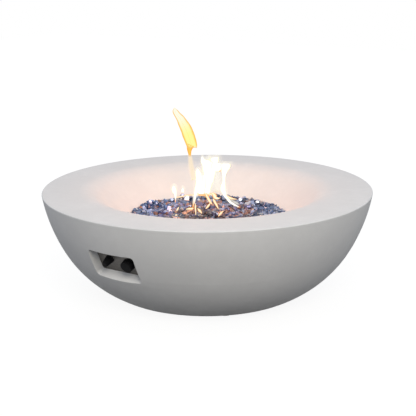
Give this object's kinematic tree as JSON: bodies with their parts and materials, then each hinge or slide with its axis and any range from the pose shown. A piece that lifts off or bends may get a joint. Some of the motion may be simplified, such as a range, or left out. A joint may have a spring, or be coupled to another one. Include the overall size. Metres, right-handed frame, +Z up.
{
  "type": "propane fire bowl",
  "caption": "Round concrete fire bowl with a sloping dish of blue fire glass over a propane ring burner, and a recessed gas knob and push igniter in its wall.",
  "frame": {"origin": "on the ground, on the bowl's vertical axis, at the underside of the rubber feet", "axes": "+Z up, the control recess faces -Y and the gas inlet faces +Y, +X to the right seen from the recess's side"},
  "size_m": [1.0688, 1.0688, 0.338],
  "materials": {
    "concrete": "matte",
    "brass": "satin",
    "rubber": "matte",
    "zinc_steel": "satin",
    "stainless": "satin",
    "copper": "satin",
    "ceramic": "satin",
    "blue_glass": "gloss",
    "dark_steel": "satin",
    "cast_aluminium": "satin",
    "spring_steel": "satin",
    "black_plastic": "satin",
    "battery_sleeve": "gloss",
    "hose_rubber": "matte",
    "hose_braid": "satin",
    "wire_sleeve": "satin"
  },
  "bodies": {
    "bowl": {"bowl_casting": "concrete", "threaded_inserts": "brass", "rubber_feet": "rubber", "foot_screws": "zinc_steel", "burner_pan": "stainless", "pan_screws": "zinc_steel", "ring_burner": "stainless", "burner_locknut": "zinc_steel", "air_mixer": "brass", "jet_elbow": "brass", "pilot_bracket": "stainless", "bracket_screws": "zinc_steel", "pilot_hood": "stainless", "thermocouple": "copper", "electrode_ceramic": "ceramic", "electrode_rod": "stainless", "fire_glass": "blue_glass", "control_plate": "dark_steel", "plate_screws": "zinc_steel", "gas_valve": "cast_aluminium", "valve_nut": "zinc_steel", "stem_spring": "spring_steel", "igniter_body": "black_plastic", "igniter_nut": "black_plastic", "battery": "battery_sleeve", "igniter_spring": "spring_steel", "gas_inlet": "brass", "inlet_locknut": "brass", "inlet_elbow": "brass", "supply_hose": "hose_rubber", "supply_hose_nuts": "brass", "hose_clips": "zinc_steel", "clip_screws": "zinc_steel", "burner_hose": "hose_braid", "burner_hose_nuts": "brass", "thermocouple_lead": "copper", "thermocouple_nut": "brass", "ignition_wire": "wire_sleeve", "wire_terminal": "rubber"},
    "stem_washer": {"thrust_washer": "spring_steel"},
    "knob": {"control_knob": "black_plastic", "valve_stem": "spring_steel"},
    "button": {"igniter_button": "black_plastic"}
  },
  "joints": [
    {"name": "knob_push", "type": "slide", "parent": "bowl", "child": "stem_washer", "axis": [0, 0.9039, 0.4278], "range_m": [0, 0.0045], "stiffness_N_per_m": 700, "springref_m": -0.006, "deforming": ["stem_spring"]},
    {"name": "knob_turn", "type": "hinge", "parent": "stem_washer", "child": "knob", "pos_m": [0.042, -0.46142, 0.20923], "axis": [0, -0.9039, -0.4278], "range_deg": [0, 180]},
    {"name": "igniter_push", "type": "slide", "parent": "bowl", "child": "button", "axis": [0, 0.9039, 0.4278], "range_m": [0, 0.004], "stiffness_N_per_m": 500, "springref_m": -0.006, "deforming": ["igniter_spring"]}
  ]
}
